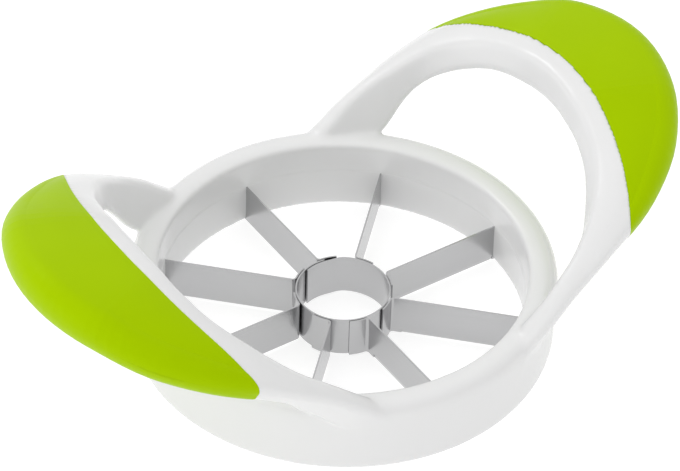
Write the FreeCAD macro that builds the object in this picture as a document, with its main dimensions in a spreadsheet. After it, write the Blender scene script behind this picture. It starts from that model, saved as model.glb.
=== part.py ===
import FreeCAD, Part
import math
import os

# Apple wedger press: a moulded ring with two arched handles, soft grips,
# a rolled corer ring in the middle and eight strip blades between them.
# Millimetres, +Z up, the ring's base on Z = 0, the handles along X.

V = FreeCAD.Vector
doc = FreeCAD.newDocument("apple_wedger")
sheet = doc.addObject("Spreadsheet::Sheet", "Sizes")
sheet.Label = "Sizes"
sheet_lines = []


def heading(text):
    """Line of plain text on the sheet."""
    sheet_lines.append(text)
    sheet.set("A%d" % len(sheet_lines), text)


def size(alias, value, note):
    """Driving size: the sheet holds it under its alias and gives it back."""
    heading(note)
    cell = "B%d" % len(sheet_lines)
    sheet.set(cell, repr(value))
    sheet.setAlias(cell, alias)
    doc.recompute()
    return sheet.get(alias)


heading("Ring")
bore_radius = size("bore_radius", 46.0, "inside of the ring below the parting step")
step_depth = size("step_depth", 0.25, "parting step on the inside wall")
step_height = size("step_height", 11.4, "height of the parting step")
foot_radius = size("foot_radius", 53.2, "outside of the ring at its base")
wall_radius = size("wall_radius", 53.6, "outside of the ring below the rounded rim")
rim_shoulder = size("rim_shoulder", 16.4, "height where the outer rounding starts")
rim_height = size("rim_height", 20.0, "crest of the rim")
rim_inner_height = size("rim_inner_height", 19.5, "inner edge of the rim")
foot_break = size("foot_break", 0.6, "small rounding round the base")

heading("Blades and corer")
blade_count = size("blade_count", 8, "number of blades")
blade_height = size("blade_height", 11.0, "height of the blades and the corer")
strip = size("strip", 0.4, "thickness of the steel strip")
blade_bed = size("blade_bed", 0.3, "plastic left below each blade end")
blade_reach = size("blade_reach", 49.0, "outer end of a blade from the centre")
blade_offset = size("blade_offset", 0.6, "sideways offset of a blade from the centre")
slot_play = size("slot_play", 0.02, "play on each side of a blade in its slot")
tab_radius = size("tab_radius", 12.4, "middle of the strip in the welded tabs")
bend_radius = size("bend_radius", 1.0, "middle of the strip in the root bend")
tab_sweep = size("tab_sweep", 19.0, "arc of a tab, in degrees")
weld_gap = size("weld_gap", 0.2, "gap between a tab and the corer")
seam_angle = size("seam_angle", 110.0, "free inner end of the rolled corer")
seam_lap = size("seam_lap", 32.0, "overlap of the corer's ends, in degrees")
seam_gap = size("seam_gap", 0.25, "gap between the overlapping ends")
seam_step = size("seam_step", 24.0, "arc over which the lapped end steps out, in degrees")
seam_margin = size("seam_margin", 2.0, "arc between the outer end and that step")
edge_bevel = size("edge_bevel", 1.2, "height of the ground cutting edge")

heading("Handles")
arch_centre = size("arch_centre", 38.8, "axis of the handle stations from the centre")
grip_arc_radius = size("grip_arc_radius", 91.2, "plan radius of the line along the grip")
grip_line_mid = size("grip_line_mid", 65.7, "grip line from the centre, at the middle")
grip_tip_x = size("grip_tip_x", 52.9, "ends of the grip from the centre")
grip_tip_round = size("grip_tip_round", 3.0, "plan rounding of the grip's corners")
grip_seam = size("grip_seam", 0.2, "open line between grip and frame")
core_depth = size("core_depth", 3.0, "thickness of the grip over the core")
core_play = size("core_play", 0.3, "gap between the core and the grip")
core_reach = size("core_reach", 62.0, "half angle of the core inside the grip")

# Stations of the arch, as angles round the handle's own axis. Each one holds
# the four corners of the section as radius and height: the inner top edge,
# the outer shoulder, the outer lower edge and the inner lower edge.
heading("Stations: angle, four corners as radius and height, two outer radii, crown")
station_rows = (
    (0.0, 21.9, 56.2, 51.3, 59.2, 51.3, 46.2, 20.9, 46.2, 5.8, 6.2, 0.3),
    (22.0, 23.1, 55.3, 50.8, 57.5, 50.7, 44.6, 21.6, 45.9, 5.7, 6.2, 0.6),
    (42.0, 27.2, 52.8, 49.7, 51.6, 49.7, 39.2, 24.4, 44.9, 5.8, 5.8, 1.0),
    (57.0, 32.0, 49.4, 48.6, 46.8, 48.2, 35.5, 28.3, 41.8, 5.0, 5.0, 1.0),
    (70.0, 36.2, 45.4, 48.5, 41.6, 46.2, 33.6, 32.5, 37.0, 3.6, 3.4, 0.7),
    (80.0, 38.9, 40.6, 48.6, 36.5, 44.8, 30.2, 36.4, 29.4, 2.6, 2.4, 0.4),
    (86.0, 40.6, 37.1, 48.6, 33.6, 44.7, 26.6, 36.9, 22.3, 2.4, 2.2, 0.3),
    (89.0, 41.7, 35.6, 48.6, 31.8, 44.5, 24.4, 35.9, 17.8, 2.6, 2.0, 0.2),
    (95.0, 43.4, 32.4, 49.3, 28.4, 44.4, 19.6, 36.6, 16.8, 2.8, 1.8, 0.2),
    (101.0, 45.0, 28.4, 50.9, 24.7, 45.8, 14.6, 38.4, 15.4, 3.0, 1.6, 0.2),
    (108.0, 46.3, 23.0, 52.5, 19.8, 49.6, 11.6, 41.0, 14.6, 3.0, 1.4, 0.2),
    (116.0, 49.0, 17.6, 55.9, 14.8, 55.0, 9.4, 48.4, 12.5, 2.0, 1.2, 0.1),
)
crest_round = size("crest_round", 1.6, "rounding of the inner top edge")
hole_round = size("hole_round", 1.6, "rounding of the inner lower edge")
stations = []
for number, row in enumerate(station_rows):
    names = ("angle", "crest_r", "crest_z", "shoulder_r", "shoulder_z", "lower_r",
             "lower_z", "hole_r", "hole_z", "shoulder_round", "lower_round", "crown")
    stations.append([size("st%d_%s" % (number, name), value, "station %d %s" % (number, name))
                     for name, value in zip(names, row)])
handle_steps = size("handle_steps", 32, "sections on each side of the handle's middle")
grip_steps = size("grip_steps", 24, "sections on each side that the grip needs")
core_steps = size("core_steps", 4, "sections on each side of the core")
handle_turn = stations[-1][0] / handle_steps
doc.recompute()


def plane_of(body, role):
    for feature in body.Origin.OriginFeatures:
        if feature.Role == role:
            return feature


def new_body(label, turn=0.0):
    body = doc.addObject("PartDesign::Body", label)
    body.Label = label
    body.Placement = FreeCAD.Placement(V(0, 0, 0), FreeCAD.Rotation(V(0, 0, 1), turn))
    return body


def new_sketch(body, name, role, offset=None):
    sketch = body.newObject("Sketcher::SketchObject", name)
    sketch.AttachmentSupport = [(plane_of(body, role), "")]
    sketch.MapMode = "FlatFace"
    if offset is not None:
        sketch.AttachmentOffset = offset
    return sketch


def segment(start, end):
    return Part.LineSegment(V(start[0], start[1], 0), V(end[0], end[1], 0))


def arc(start, middle, end):
    return Part.Arc(V(start[0], start[1], 0), V(middle[0], middle[1], 0), V(end[0], end[1], 0))


def polar(radius, degrees):
    return (radius * math.cos(math.radians(degrees)), radius * math.sin(math.radians(degrees)))


def inset(corners, depth):
    """Corners of the same outline moved inwards by depth."""
    moved = []
    count = len(corners)
    for index in range(count):
        before = corners[index - 1]
        here = corners[index]
        after = corners[(index + 1) % count]
        lines = []
        for start, end in ((before, here), (here, after)):
            length = math.hypot(end[0] - start[0], end[1] - start[1])
            along = ((end[0] - start[0]) / length, (end[1] - start[1]) / length)
            inward = (along[1], -along[0])
            lines.append(((start[0] + inward[0] * depth, start[1] + inward[1] * depth), along))
        (p, d), (q, e) = lines
        cross = d[0] * e[1] - d[1] * e[0]
        reach = ((q[0] - p[0]) * e[1] - (q[1] - p[1]) * e[0]) / cross
        moved.append((p[0] + d[0] * reach, p[1] + d[1] * reach))
    return moved


def rounded_outline(corners, radii, crown):
    """Section with four rounded corners and a crowned top, as eight curves."""
    rounds = []
    for index in range(4):
        here = corners[index]
        before = corners[index - 1]
        after = corners[(index + 1) % 4]
        to_before = math.atan2(before[1] - here[1], before[0] - here[0])
        to_after = math.atan2(after[1] - here[1], after[0] - here[0])
        half = abs((to_after - to_before + math.pi) % (2 * math.pi) - math.pi) / 2
        reach = radii[index] / math.tan(half)
        near = radii[index] / math.sin(half) - radii[index]
        middle = math.atan2(math.sin(to_before) + math.sin(to_after),
                            math.cos(to_before) + math.cos(to_after))
        rounds.append(tuple((here[0] + far * math.cos(way), here[1] + far * math.sin(way))
                            for far, way in ((reach, to_before), (near, middle), (reach, to_after))))
    crest, shoulder, lower, hole = rounds
    top = ((crest[2][0] + shoulder[0][0]) / 2, (crest[2][1] + shoulder[0][1]) / 2 + crown)
    return [segment(hole[2], crest[0]), arc(*crest), arc(crest[2], top, shoulder[0]),
            arc(*shoulder), segment(shoulder[2], lower[0]), arc(*lower),
            segment(lower[2], hole[0]), arc(*hole)]


def section(values, depth):
    corners = [(values[1], values[2]), (values[3], values[4]),
               (values[5], values[6]), (values[7], values[8])]
    radii = [crest_round, values[9], values[10], hole_round]
    if depth > 0:
        corners = inset(corners, depth)
        return [segment(corners[index - 1], corners[index]) for index in range(4)]
    return rounded_outline(corners, radii, values[11])


def slope(number, column):
    """Even slope of one station value: none where the value turns back."""
    if number in (0, len(stations) - 1):
        return 0.0
    low, here, high = stations[number - 1], stations[number], stations[number + 1]
    before = (here[column] - low[column]) / (here[0] - low[0])
    after = (high[column] - here[column]) / (high[0] - here[0])
    if before * after <= 0:
        return 0.0
    return 2 * before * after / (before + after)


def station_at(angle):
    """Station values at any angle, on a smooth curve through the table."""
    number = 0
    while stations[number + 1][0] < angle:
        number += 1
    low, high = stations[number], stations[number + 1]
    span = high[0] - low[0]
    share = (angle - low[0]) / span
    values = [angle]
    for column in range(1, len(low)):
        rise = high[column] - low[column]
        start = slope(number, column) * span
        end = slope(number + 1, column) * span
        bend = share * (1 - share) * ((start - rise) * (1 - share) - (end - rise) * share)
        values.append(low[column] + rise * share + bend)
    return values


def even_angles(reach, count):
    """Angles at even steps over the whole arch, from -reach to reach."""
    return [reach * step / count for step in range(-int(count), int(count) + 1)]


def arch_loft(body, name, kind, angles, depth=0.0):
    """Stretch of the left handle through sections on planes fanned round its axis."""
    sketches = []
    for number, angle in enumerate(angles):
        offset = FreeCAD.Placement(V(-arch_centre, 0, 0),
                                   FreeCAD.Rotation(V(0, 1, 0), 180.0 - angle))
        sketch = new_sketch(body, "%s_station_%d" % (name, number), "XZ_Plane", offset)
        for curve in section(station_at(abs(angle)), depth):
            sketch.addGeometry(curve, False)
        sketches.append(sketch)
    loft = body.newObject(kind, name)
    loft.Profile = sketches[0]
    loft.Sections = [(sketch, [""]) for sketch in sketches[1:]]
    loft.Ruled = True
    doc.recompute()
    return loft


def ring_outline(body):
    """Half section of the ring, turned round Z."""
    sketch = new_sketch(body, "ring_section", "XZ_Plane")
    upper_bore = bore_radius + step_depth
    crest = (wall_radius - 3.9, rim_height)
    inner_top = (upper_bore + 0.9, rim_inner_height + 0.05)
    points = {
        "a": (bore_radius, 0.0),
        "b": (foot_radius - foot_break, 0.0),
        "c": (foot_radius, foot_break),
        "d": (wall_radius, rim_shoulder),
        "e": crest,
        "f": inner_top,
        "g": (upper_bore, rim_inner_height - 0.9),
        "h": (upper_bore - 0.1, step_height),
        "i": (bore_radius - 0.1, step_height),
    }
    p = points
    foot_middle = (foot_radius - foot_break * 0.29, foot_break * 0.29)
    sketch.addGeometry(segment(p["a"], p["b"]), False)
    sketch.addGeometry(arc(p["b"], foot_middle, p["c"]), False)
    sketch.addGeometry(segment(p["c"], p["d"]), False)
    sketch.addGeometry(arc(p["d"], (wall_radius - 1.0, rim_height - 1.05), p["e"]), False)
    sketch.addGeometry(arc(p["e"], (upper_bore + 2.2, rim_inner_height + 0.33), p["f"]), False)
    sketch.addGeometry(arc(p["f"], (upper_bore + 0.26, rim_inner_height - 0.22), p["g"]), False)
    sketch.addGeometry(segment(p["g"], p["h"]), False)
    sketch.addGeometry(segment(p["h"], p["i"]), False)
    sketch.addGeometry(segment(p["i"], p["a"]), False)
    ring = body.newObject("PartDesign::Revolution", "ring")
    ring.Profile = sketch
    ring.ReferenceAxis = (sketch, ["V_Axis"])
    ring.Angle = 360.0
    doc.recompute()
    return ring


def grip_region(body, name, play, inside):
    """Plan outline split along the grip line, cut right through."""
    sketch = new_sketch(body, name + "_plan", "XY_Plane")
    centre = grip_line_mid - grip_arc_radius
    radius = grip_arc_radius + play
    tip_x = grip_tip_x + play
    # rounded corner: a circle touching the grip line and the end line
    corner = grip_tip_round - play
    round_x = tip_x + corner
    round_y = math.sqrt((radius + corner) ** 2 - (round_x - centre) ** 2)
    lean = math.atan2(round_y, round_x - centre)
    line_end = (centre + radius * math.cos(lean), radius * math.sin(lean))
    half_way = math.pi + lean / 2
    bulge = (round_x + corner * math.cos(half_way), round_y + corner * math.sin(half_way))
    far_x = 0.0 if inside else 110.0

    def at(point, mirror=1):
        return (-point[0], mirror * point[1])

    tip = (tip_x, round_y)
    wide = (tip_x, 70.0)
    far = (far_x, 70.0)
    sketch.addGeometry(arc(at(line_end, -1), (-centre - radius, 0.0), at(line_end)), False)
    for mirror in (1, -1):
        sketch.addGeometry(arc(at(line_end, mirror), at(bulge, mirror), at(tip, mirror)), False)
        sketch.addGeometry(segment(at(tip, mirror), at(wide, mirror)), False)
        sketch.addGeometry(segment(at(wide, mirror), at(far, mirror)), False)
    sketch.addGeometry(segment(at(far), at(far, -1)), False)
    cut = body.newObject("PartDesign::Pocket", name)
    cut.Profile = sketch
    cut.Type = "ThroughAll"
    cut.Midplane = True
    doc.recompute()
    return cut


def strip_profile(sketch, reach, height_play):
    """Plan of one blade: straight strip, root bend and welded tab."""
    half = strip / 2 + height_play
    low = -blade_offset
    centre = (math.sqrt((tab_radius + bend_radius) ** 2 - (blade_offset + bend_radius) ** 2),
              low - bend_radius)
    touch = math.degrees(math.atan2(centre[1], centre[0]))
    end = touch - tab_sweep
    outer = bend_radius + half
    inner = bend_radius - half
    turn_middle = (90.0 + 180.0 + touch) / 2
    b1 = polar(tab_radius - half, touch)
    c1 = polar(tab_radius - half, end)
    c2 = polar(tab_radius + half, end)
    b2 = polar(tab_radius + half, touch)

    def on_bend(radius, degrees):
        x, y = polar(radius, degrees)
        return (centre[0] + x, centre[1] + y)

    far_top = (reach, low + half)
    far_low = (reach, low - half)
    near_top = (centre[0], low + half)
    near_low = (centre[0], low - half)
    sketch.addGeometry(segment(far_top, near_top), False)
    sketch.addGeometry(arc(near_top, on_bend(outer, turn_middle), b1), False)
    sketch.addGeometry(arc(b1, polar(tab_radius - half, (touch + end) / 2), c1), False)
    sketch.addGeometry(segment(c1, c2), False)
    sketch.addGeometry(arc(c2, polar(tab_radius + half, (touch + end) / 2), b2), False)
    sketch.addGeometry(arc(b2, on_bend(inner, turn_middle), near_low), False)
    sketch.addGeometry(segment(near_low, far_low), False)
    sketch.addGeometry(segment(far_low, far_top), False)


def make_blade(number):
    body = new_body("blade_%d" % (number + 1), number * 360.0 / blade_count)
    lift = FreeCAD.Placement(V(0, 0, blade_bed), FreeCAD.Rotation())
    sketch = new_sketch(body, "blade_plan_%d" % (number + 1), "XY_Plane", lift)
    strip_profile(sketch, blade_reach, 0.0)
    pad = body.newObject("PartDesign::Pad", "blade_strip_%d" % (number + 1))
    pad.Profile = sketch
    pad.Length = blade_height
    pad.setExpression("Length", "Sizes.blade_height")
    doc.recompute()
    bevel = new_sketch(body, "edge_section_%d" % (number + 1), "YZ_Plane",
                       FreeCAD.Placement(V(0, 0, tab_radius + 3), FreeCAD.Rotation()))
    face = -blade_offset - strip / 2
    corners = ((face, blade_bed), (face + strip * 0.8, blade_bed), (face, blade_bed + edge_bevel))
    for start, end in zip(corners, corners[1:] + corners[:1]):
        bevel.addGeometry(segment(start, end), False)
    ground = body.newObject("PartDesign::Pocket", "ground_edge_%d" % (number + 1))
    ground.Profile = bevel
    ground.Type = "Length"
    ground.Length = bore_radius - tab_radius - 3.3
    ground.Reversed = True
    doc.recompute()
    return body


def step_curve(base, drop, start):
    """Curve of the corer strip that steps out by drop, from the angle start."""
    points = []
    for share in (0.0, 0.25, 0.5, 0.75, 1.0):
        ease = share * share * (3 - 2 * share)
        points.append(V(*polar(base - drop * (1 - ease), start - seam_step * share), 0))
    curve = Part.BSplineCurve()
    first = V(*polar(1, start - 90), 0)
    last = V(*polar(1, start - seam_step - 90), 0)
    curve.interpolate(Points=points, InitialTangent=first, FinalTangent=last)
    return curve


def make_corer():
    """Strip rolled into a ring whose ends overlap on the inside."""
    body = new_body("corer_ring")
    lift = FreeCAD.Placement(V(0, 0, blade_bed), FreeCAD.Rotation())
    sketch = new_sketch(body, "corer_plan", "XY_Plane", lift)
    outer = tab_radius - strip / 2 - weld_gap
    inner = outer - strip
    drop = strip + seam_gap
    lap_end = seam_angle - seam_lap
    full_start = lap_end - seam_step
    full_end = lap_end + seam_margin - 360.0
    for base in (outer, inner):
        lapped = [polar(base - drop, angle)
                  for angle in (seam_angle, (seam_angle + lap_end) / 2, lap_end)]
        full = [polar(base, angle)
                for angle in (full_start, (full_start + full_end) / 2, full_end)]
        sketch.addGeometry(arc(*lapped), False)
        sketch.addGeometry(step_curve(base, drop, lap_end), False)
        sketch.addGeometry(arc(*full), False)
    ends = ((polar(outer - drop, seam_angle), polar(inner - drop, seam_angle)),
            (polar(outer, full_end), polar(inner, full_end)))
    for start, end in ends:
        sketch.addGeometry(segment(start, end), False)
    pad = body.newObject("PartDesign::Pad", "corer_strip")
    pad.Profile = sketch
    pad.Length = blade_height
    pad.setExpression("Length", "Sizes.blade_height")
    doc.recompute()
    return body


def cut_slots(body):
    """Pockets in the ring's wall for the eight blade ends."""
    lift = FreeCAD.Placement(V(0, 0, blade_bed), FreeCAD.Rotation())
    sketch = new_sketch(body, "slot_plan", "XY_Plane", lift)
    half = strip / 2 + slot_play
    for number in range(int(blade_count)):
        turn = number * 360.0 / blade_count
        corners = []
        for x, y in ((bore_radius - 2, -half), (blade_reach + slot_play, -half),
                     (blade_reach + slot_play, half), (bore_radius - 2, half)):
            y -= blade_offset
            c = math.cos(math.radians(turn))
            s = math.sin(math.radians(turn))
            corners.append((x * c - y * s, x * s + y * c))
        for a, b in zip(corners, corners[1:] + corners[:1]):
            sketch.addGeometry(segment(a, b), False)
    slots = body.newObject("PartDesign::Pocket", "blade_slots")
    slots.Profile = sketch
    slots.Type = "Length"
    slots.Length = blade_height + slot_play
    slots.Reversed = True
    doc.recompute()
    return slots


def make_frame():
    """Ring and both handles in one moulding; the left handle is turned into the right one."""
    body = new_body("frame")
    kind = "PartDesign::AdditiveLoft"
    reach = handle_turn * handle_steps
    handle = arch_loft(body, "handle", kind, even_angles(reach, handle_steps))
    seat = grip_region(body, "grip_seat", -grip_seam / 2, False)
    core = arch_loft(body, "core", kind, even_angles(core_reach, core_steps), core_depth)
    handles = body.newObject("PartDesign::PolarPattern", "both_handles")
    handles.Originals = [handle, seat, core]
    handles.Axis = (plane_of(body, "Z_Axis"), [""])
    handles.Angle = 360.0
    handles.Occurrences = 2
    body.Tip = handles
    doc.recompute()
    ring_outline(body)
    cut_slots(body)
    return body


def make_grip(word, turn):
    """Soft grip: the handle's own form inside the grip line, hollowed for the core."""
    body = new_body("grip_" + word, turn)
    arch_loft(body, "grip_arch_" + word, "PartDesign::AdditiveLoft",
              even_angles(handle_turn * grip_steps, grip_steps))
    grip_region(body, "grip_cut_" + word, grip_seam / 2, True)
    arch_loft(body, "grip_cavity_" + word, "PartDesign::SubtractiveLoft",
              even_angles(core_reach + 2 * core_play, core_steps), core_depth - core_play)
    return body


bodies = [make_frame(), make_grip("right", 180.0), make_grip("left", 0.0), make_corer()]
for index in range(int(blade_count)):
    bodies.append(make_blade(index))
doc.recompute()

for item in doc.Objects:
    for state in item.State:
        if state in ("Invalid", "Error"):
            raise RuntimeError("%s is %s" % (item.Name, state))

os.makedirs("parts", exist_ok=True)
for body in bodies:
    shape = body.Shape
    if shape.isNull() or not shape.isValid():
        raise RuntimeError("%s has no valid shape" % body.Label)
    print(body.Label, len(shape.Solids), round(shape.Volume, 1), shape.BoundBox)
    shape.exportStep("parts/%s.step" % body.Label)
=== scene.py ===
import math

import bpy
from mathutils import Matrix, Vector

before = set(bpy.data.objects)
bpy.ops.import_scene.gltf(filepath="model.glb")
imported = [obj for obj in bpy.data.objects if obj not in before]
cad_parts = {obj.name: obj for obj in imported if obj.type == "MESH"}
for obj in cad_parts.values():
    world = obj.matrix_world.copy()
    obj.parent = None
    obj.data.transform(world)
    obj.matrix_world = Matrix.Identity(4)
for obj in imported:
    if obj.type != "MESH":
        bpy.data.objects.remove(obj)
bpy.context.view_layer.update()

MM = 0.001

# The mould's parting line on the ring's inside wall: its height, and a radius between the
# inside wall and the rim, so that the line stays on the wall.
PARTING_HEIGHT = 11.4 * MM
PARTING_WIDTH = 0.3 * MM
RIM_MIDDLE = 48.5 * MM

# The skin over the moulded frame, and how it meets the grips.
SKIN_CELL = 0.45 * MM
EASE_FROM, EASE_FULL = 0.5 * MM, 2.0 * MM
PULL_FULL, PULL_END = 0.45 * MM, 1.1 * MM
LIP_RISE = 0.12 * MM

FLOOR_REACH = 3.0
FLOOR_DROP = 0.2 * MM


def linear(hex_colour):
    """sRGB hex to the linear colour that the shaders take."""
    channels = [int(hex_colour[i:i + 2], 16) / 255 for i in (1, 3, 5)]
    return tuple(c / 12.92 if c <= 0.04045 else ((c + 0.055) / 1.055) ** 2.4
                 for c in channels) + (1.0,)


def add(tree, kind, inputs=None, **settings):
    """One node with its settings; inputs maps a socket to a value or another node's output."""
    node = tree.nodes.new(kind)
    for name, value in settings.items():
        setattr(node, name, value)
    for socket, value in (inputs or {}).items():
        if isinstance(value, bpy.types.NodeSocket):
            tree.links.new(value, node.inputs[socket])
        else:
            node.inputs[socket].default_value = value
    return node


def new_material(name):
    """An empty node material and its principled shader."""
    material = bpy.data.materials.new(name)
    material.use_nodes = True
    tree = material.node_tree
    return material, tree, tree.nodes["Principled BSDF"]


def white_abs_moulded():
    """ABS from a polished mould: glossy, and a faint orange peel keeps its highlights alive."""
    material, tree, shader = new_material("ABS moulded white")
    shader.inputs["IOR"].default_value = 1.54
    shader.inputs["Subsurface Weight"].default_value = 0.2
    shader.inputs["Subsurface Radius"].default_value = (1.0, 0.96, 0.92)
    shader.inputs["Subsurface Scale"].default_value = 1.5 * MM
    place = add(tree, "ShaderNodeTexCoord").outputs["Object"]
    # melt flow, about 30 mm from streak to streak
    flow = add(tree, "ShaderNodeTexNoise", {"Vector": place, "Scale": 1 / (30 * MM),
                                            "Detail": 2.0}).outputs["Fac"]
    tint = add(tree, "ShaderNodeMix", {"Factor": flow, "A": linear("#e0e0e0"),
                                       "B": linear("#e3e3e3")}, data_type="RGBA")
    tree.links.new(tint.outputs["Result"], shader.inputs["Base Color"])
    gloss = add(tree, "ShaderNodeMapRange", {"Value": flow, "To Min": 0.23, "To Max": 0.28})
    tree.links.new(gloss.outputs["Result"], shader.inputs["Roughness"])
    # orange peel, about 2.5 mm across
    peel = add(tree, "ShaderNodeTexNoise", {"Vector": place, "Scale": 1 / (2.5 * MM),
                                            "Detail": 1.0})
    bump = add(tree, "ShaderNodeBump", {"Height": peel.outputs["Fac"], "Strength": 0.25,
                                        "Distance": 0.02 * MM})
    # parting line: a step of 0.25 mm where the two halves of the mould meet in the ring
    axes = add(tree, "ShaderNodeSeparateXYZ", {"Vector": place})
    plan = add(tree, "ShaderNodeCombineXYZ", {"X": axes.outputs["X"], "Y": axes.outputs["Y"]})
    radius = add(tree, "ShaderNodeVectorMath", {0: plan.outputs["Vector"]}, operation="LENGTH")
    inside = add(tree, "ShaderNodeMath", {0: radius.outputs["Value"], 1: RIM_MIDDLE},
                 operation="LESS_THAN")
    step = add(tree, "ShaderNodeMapRange", {
        "Value": axes.outputs["Z"], "From Min": PARTING_HEIGHT - PARTING_WIDTH / 2,
        "From Max": PARTING_HEIGHT + PARTING_WIDTH / 2, "To Min": inside.outputs["Value"],
        "To Max": 0.0})
    line = add(tree, "ShaderNodeBump", {"Height": step.outputs["Result"], "Strength": 0.4,
                                        "Distance": 0.25 * MM,
                                        "Normal": bump.outputs["Normal"]})
    tree.links.new(line.outputs["Normal"], shader.inputs["Normal"])
    return material


def lime_tpe_soft():
    """TPE moulded over the handle: the fine grain of an eroded mould makes it soft and matt."""
    material, tree, shader = new_material("TPE soft grip lime")
    shader.inputs["IOR"].default_value = 1.5
    # a weak reflection in the lime's own tone, so that the colour stays full
    shader.inputs["Specular IOR Level"].default_value = 0.08
    shader.inputs["Specular Tint"].default_value = linear("#d2f03c")
    shader.inputs["Subsurface Weight"].default_value = 0.12
    shader.inputs["Subsurface Radius"].default_value = (0.8, 1.0, 0.1)
    shader.inputs["Subsurface Scale"].default_value = 1.0 * MM
    place = add(tree, "ShaderNodeTexCoord").outputs["Object"]
    # clouds of pigment, about 22 mm across
    cloud = add(tree, "ShaderNodeTexNoise", {"Vector": place, "Scale": 1 / (22 * MM),
                                             "Detail": 3.0})
    tint = add(tree, "ShaderNodeMix", {"Factor": cloud.outputs["Fac"], "A": linear("#9dbe00"),
                                       "B": linear("#a3c500")}, data_type="RGBA")
    tree.links.new(tint.outputs["Result"], shader.inputs["Base Color"])
    # eroded grain is about 0.1 mm; drawn at 0.5 mm so that it shows
    grain = add(tree, "ShaderNodeTexNoise", {"Vector": place, "Scale": 1 / (0.5 * MM),
                                             "Detail": 2.0}).outputs["Fac"]
    rough = add(tree, "ShaderNodeMapRange", {"Value": grain, "To Min": 0.36, "To Max": 0.48})
    tree.links.new(rough.outputs["Result"], shader.inputs["Roughness"])
    bump = add(tree, "ShaderNodeBump", {"Height": grain, "Strength": 0.3,
                                        "Distance": 0.03 * MM})
    tree.links.new(bump.outputs["Normal"], shader.inputs["Normal"])
    return material


def brushed_strip_steel():
    """Stainless strip brushed along its length: a satin sheen that runs out along each blade."""
    material, tree, shader = new_material("stainless strip brushed")
    shader.inputs["Metallic"].default_value = 1.0
    place = add(tree, "ShaderNodeTexCoord").outputs["Object"]
    axes = add(tree, "ShaderNodeSeparateXYZ", {"Vector": place})
    radius = add(tree, "ShaderNodeVectorMath", {0: place}, operation="LENGTH")
    turn = add(tree, "ShaderNodeMath", {0: axes.outputs["Y"], 1: axes.outputs["X"]},
               operation="ARCTAN2")
    # brush lines: 0.12 mm apart up the strip, drawn at 0.3 mm so that they show, and some
    # 15 mm long
    along = add(tree, "ShaderNodeMath", {0: radius.outputs["Value"], 1: 1 / (15 * MM)},
                operation="MULTIPLY")
    around = add(tree, "ShaderNodeMath", {0: turn.outputs["Value"], 1: 0.8},
                 operation="MULTIPLY")
    upward = add(tree, "ShaderNodeMath", {0: axes.outputs["Z"], 1: 1 / (0.3 * MM)},
                 operation="MULTIPLY")
    lines = add(tree, "ShaderNodeCombineXYZ", {
        "X": along.outputs["Value"], "Y": around.outputs["Value"],
        "Z": upward.outputs["Value"]})
    brush = add(tree, "ShaderNodeTexNoise", {"Vector": lines.outputs["Vector"], "Scale": 1.0,
                                             "Detail": 3.0}).outputs["Fac"]
    tint = add(tree, "ShaderNodeMix", {"Factor": brush, "A": linear("#b6b6b7"),
                                       "B": linear("#bdbdbe")}, data_type="RGBA")
    tree.links.new(tint.outputs["Result"], shader.inputs["Base Color"])
    rough = add(tree, "ShaderNodeMapRange", {"Value": brush, "To Min": 0.2, "To Max": 0.27})
    tree.links.new(rough.outputs["Result"], shader.inputs["Roughness"])
    bump = add(tree, "ShaderNodeBump", {"Height": brush, "Strength": 0.1,
                                        "Distance": 0.01 * MM})
    tree.links.new(bump.outputs["Normal"], shader.inputs["Normal"])
    return material


def ease_and_close_seams():
    """Node tree that eases the skin away from the grips and draws it tight to them."""
    tree = bpy.data.node_groups.new("ease and close seams", "GeometryNodeTree")
    tree.is_modifier = True
    for side in ("INPUT", "OUTPUT"):
        tree.interface.new_socket("Geometry", in_out=side, socket_type="NodeSocketGeometry")
    skin = add(tree, "NodeGroupInput").outputs[0]
    grips = add(tree, "GeometryNodeJoinGeometry")
    for name in ("grip_left", "grip_right"):
        grip = add(tree, "GeometryNodeObjectInfo", {"Object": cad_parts[name]})
        tree.links.new(grip.outputs["Geometry"], grips.inputs[0])
    near = add(tree, "GeometryNodeProximity", {0: grips.outputs[0]}, target_element="FACES")
    place = add(tree, "GeometryNodeInputPosition").outputs[0]
    normal = add(tree, "GeometryNodeInputNormal").outputs[0]
    # no easing at the seam, the full easing a little way off
    loose = add(tree, "ShaderNodeMapRange", {
        "Value": near.outputs["Distance"], "From Min": EASE_FROM, "From Max": EASE_FULL},
        interpolation_type="SMOOTHSTEP")
    blurred = add(tree, "GeometryNodeBlurAttribute", {
        "Value": place, "Iterations": 10, "Weight": loose.outputs["Result"]},
        data_type="FLOAT_VECTOR")
    eased = add(tree, "GeometryNodeSetPosition", {"Geometry": skin,
                                                  "Position": blurred.outputs["Value"]})
    share = add(tree, "ShaderNodeMapRange", {
        "Value": near.outputs["Distance"], "From Min": PULL_FULL, "From Max": PULL_END,
        "To Min": 1.0, "To Max": 0.0}, interpolation_type="SMOOTHSTEP")
    gap = add(tree, "ShaderNodeVectorMath", {0: near.outputs["Position"], 1: place},
              operation="SUBTRACT")
    # the lip stands proud as far as the skin had drawn back from the sharp edge
    lip = add(tree, "ShaderNodeVectorMath", {0: normal, 1: (LIP_RISE,) * 3,
                                             2: gap.outputs["Vector"]},
              operation="MULTIPLY_ADD")
    pull = add(tree, "ShaderNodeVectorMath", {0: lip.outputs["Vector"],
                                              "Scale": share.outputs["Result"]},
               operation="SCALE")
    closed = add(tree, "GeometryNodeSetPosition", {"Geometry": eased.outputs[0],
                                                   "Offset": pull.outputs["Vector"]})
    # two light passes along the seam take the skin's small steps out of the lip
    even = add(tree, "GeometryNodeBlurAttribute", {
        "Value": place, "Iterations": 2, "Weight": share.outputs["Result"]},
        data_type="FLOAT_VECTOR")
    smooth = add(tree, "GeometryNodeSetPosition", {"Geometry": closed.outputs[0],
                                                   "Position": even.outputs["Value"]})
    add(tree, "NodeGroupOutput", {0: smooth.outputs[0]})
    return tree


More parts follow.
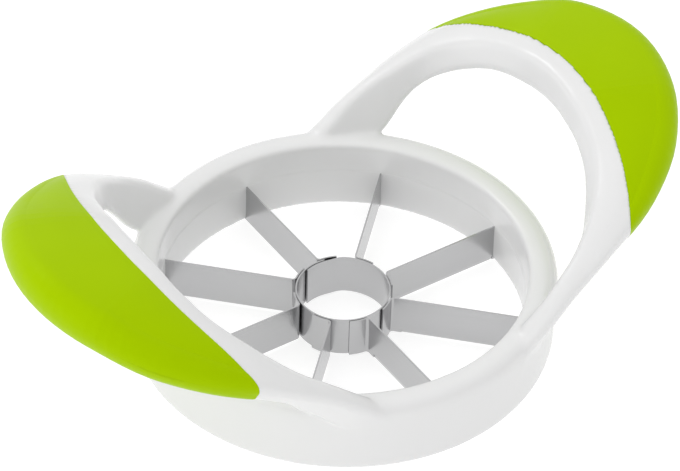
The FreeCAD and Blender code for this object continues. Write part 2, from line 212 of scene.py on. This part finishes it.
def blend_moulding(moulding):
    """One fine skin over the moulding, so that ring and handles run into each other."""
    skin = moulding.modifiers.new("skin", "REMESH")
    skin.mode = "VOXEL"
    skin.voxel_size = SKIN_CELL
    skin.use_smooth_shade = True
    ease = moulding.modifiers.new("ease", "NODES")
    ease.node_group = ease_and_close_seams()


def softbox(name, place, aim, size, power):
    """A white softbox at place, turned to aim: sizes in metres, power in watts."""
    data = bpy.data.lights.new(name, "AREA")
    data.shape = "RECTANGLE"
    data.size, data.size_y = size
    data.energy = power
    lamp = bpy.data.objects.new(name, data)
    bpy.context.collection.objects.link(lamp)
    lamp.location = place
    lamp.visible_camera = False
    lamp.rotation_euler = (Vector(aim) - Vector(place)).to_track_quat("-Z", "Y").to_euler()


def light_table():
    """The pale floor, which glows a little and so lifts the shadows as a light table does."""
    mesh = bpy.data.meshes.new("floor")
    corners = [(x * FLOOR_REACH, y * FLOOR_REACH, 0)
               for x, y in ((-1, -1), (1, -1), (1, 1), (-1, 1))]
    mesh.from_pydata(corners, [], [(0, 1, 2, 3)])
    floor = bpy.data.objects.new("floor", mesh)
    bpy.context.collection.objects.link(floor)
    floor.location.z = -FLOOR_DROP
    material, _, shader = new_material("studio light table")
    shader.inputs["Base Color"].default_value = linear("#a8a8a8")
    shader.inputs["Roughness"].default_value = 0.9
    shader.inputs["Emission Color"].default_value = linear("#ffffff")
    shader.inputs["Emission Strength"].default_value = 0.73
    mesh.materials.append(material)


def studio_sky():
    """A white tent that is brightest overhead and darker at eye level."""
    world = bpy.data.worlds.new("studio sky")
    bpy.context.scene.world = world
    world.use_nodes = True
    tree = world.node_tree
    way = add(tree, "ShaderNodeSeparateXYZ", {
        "Vector": add(tree, "ShaderNodeTexCoord").outputs["Generated"]})
    tent = add(tree, "ShaderNodeMapRange", {"Value": way.outputs["Z"], "From Min": 0.0,
                                            "From Max": 1.0, "To Min": 0.46, "To Max": 1.2})
    background = tree.nodes["Background"]
    tree.links.new(tent.outputs["Result"], background.inputs["Strength"])
    background.inputs["Color"].default_value = linear("#ffffff")


def photo_camera():
    """Camera at the photograph's angle, found from the ring, the blades and both handles."""
    azimuth, elevation, roll = (math.radians(a) for a in (-34.5589, 41.0792, 1.67))
    distance = 1015.6 * MM
    aim_right, aim_up = -0.53 * MM, 21.82 * MM
    back = Vector((math.sin(azimuth) * math.cos(elevation),
                   -math.cos(azimuth) * math.cos(elevation), math.sin(elevation)))
    level = Vector((math.cos(azimuth), math.sin(azimuth), 0))
    up = back.cross(level)
    right = level * math.cos(roll) + up * math.sin(roll)
    up = up * math.cos(roll) - level * math.sin(roll)
    data = bpy.data.cameras.new("photo camera")
    data.sensor_fit = "HORIZONTAL"
    data.sensor_width = 36.0
    data.lens = 212.84
    data.clip_end = 20.0
    camera = bpy.data.objects.new("photo camera", data)
    bpy.context.collection.objects.link(camera)
    place = right * aim_right + up * aim_up + back * distance
    turn = Matrix((right, up, back)).transposed()
    camera.matrix_world = Matrix.Translation(place) @ turn.to_4x4()
    bpy.context.scene.camera = camera


abs_white = white_abs_moulded()
tpe_lime = lime_tpe_soft()
strip_steel = brushed_strip_steel()
finishes = {"frame": abs_white, "grip_left": tpe_lime, "grip_right": tpe_lime}
for name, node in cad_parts.items():
    for slot in node.material_slots:
        slot.material = finishes.get(name, strip_steel)
blend_moulding(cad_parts["frame"])

light_table()
studio_sky()
softbox("key left", (-0.9, -0.3, 0.5), (0, 0, 0.02), (0.6, 0.5), 0.8)
softbox("fill right", (0.9, -0.4, 0.6), (0, 0, 0.02), (0.6, 0.5), 0.1)
# draws the bright line along the arches' inner edge
softbox("top back", (-0.35, 0.75, 0.85), (0, 0, 0.03), (0.5, 0.25), 1.6)
# draws the pale edge under the left grip
softbox("low strip left", (-0.9, 0.1, 0.14), (-0.06, -0.02, 0.03), (0.8, 0.16), 1.1)
photo_camera()
# plain white stays plain white, as in the photograph
bpy.context.scene.view_settings.view_transform = "Standard"
